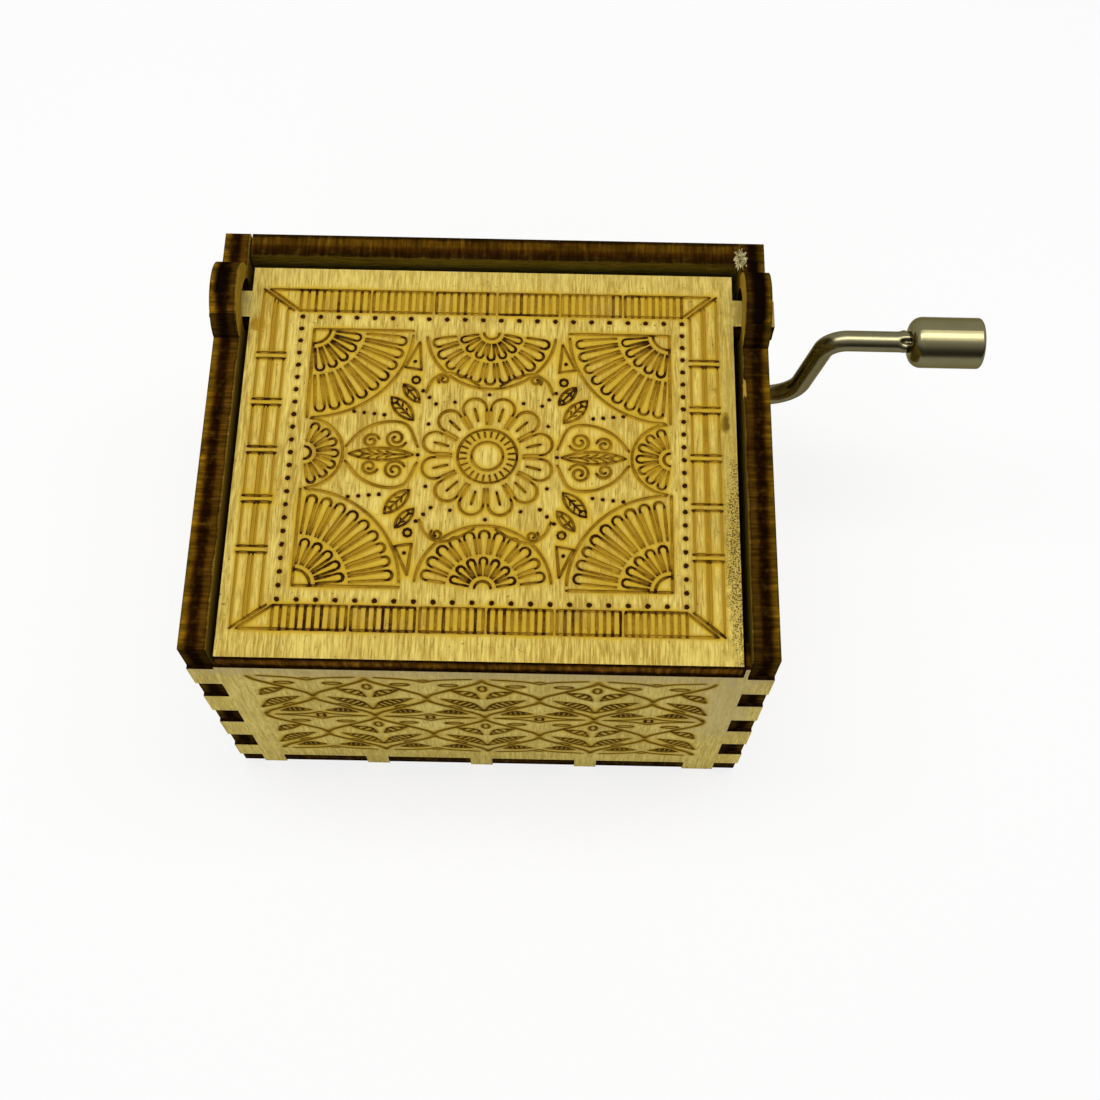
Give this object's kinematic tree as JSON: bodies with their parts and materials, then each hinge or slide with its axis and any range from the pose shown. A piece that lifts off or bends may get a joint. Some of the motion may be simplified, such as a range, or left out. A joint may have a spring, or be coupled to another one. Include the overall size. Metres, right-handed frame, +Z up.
{
  "type": "hand cranked music box",
  "caption": "Finger-jointed plywood box with a hinged engraved lid over a crank-driven pinned drum and steel comb; bent wire crank on one side.",
  "frame": {"origin": "centre of the case's underside, on the surface that it stands on", "axes": "+X to the side that the crank is on, +Y to the back where the lid is hinged, +Z up"},
  "size_m": [0.0916, 0.0528, 0.0467],
  "materials": {
    "plywood": "bare, laser-cut with burnt edges",
    "cast_zinc": "as cast, dull",
    "comb_steel": "ground",
    "screw_steel": "zinc plated",
    "lead": "dull",
    "brass": "satin",
    "nylon": "moulded",
    "nickel": "satin nickel plate"
  },
  "bodies": {
    "case": {"front_panel": "plywood", "back_panel": "plywood", "left_panel": "plywood", "right_panel": "plywood", "bottom_panel": "plywood", "bedplate": "cast_zinc", "gear_frame": "cast_zinc", "bearing_post": "cast_zinc", "comb": "comb_steel", "comb_weights": "lead", "comb_screws": "screw_steel", "comb_washers": "brass", "frame_screws": "screw_steel", "case_screws": "screw_steel"},
    "lid": {"lid": "plywood"},
    "drum": {"drum_sleeve": "brass", "drum_pins": "comb_steel", "drum_front_plate": "brass", "drum_back_plate": "brass", "drum_arbor": "comb_steel", "drum_wheel": "nylon"},
    "crank": {"worm_shaft": "comb_steel", "worm": "brass", "shaft_collars": "screw_steel", "crank_wire": "nickel"},
    "knob": {"crank_knob": "nickel"}
  },
  "joints": [
    {"name": "lid_hinge", "type": "hinge", "parent": "case", "child": "lid", "pos_m": [0, 0.0176, 0.0402], "axis": [-1, 0, 0], "range_deg": [0, 157]},
    {"name": "crank_spin", "type": "hinge", "parent": "case", "child": "crank", "pos_m": [0.018, 0.0171, 0.022], "axis": [1, 0, 0], "continuous": true},
    {"name": "drum_spin", "type": "hinge", "parent": "case", "child": "drum", "pos_m": [0.008, 0.0025, 0.0134], "axis": [0, 1, 0], "continuous": true},
    {"name": "knob_spin", "type": "hinge", "parent": "crank", "child": "knob", "pos_m": [0.05405, 0.01664, 0.03649], "axis": [1, 0, 0], "continuous": true}
  ],
  "couplings": [
    {"joint": "drum_spin", "follows": "crank_spin", "ratio": -0.041667}
  ]
}
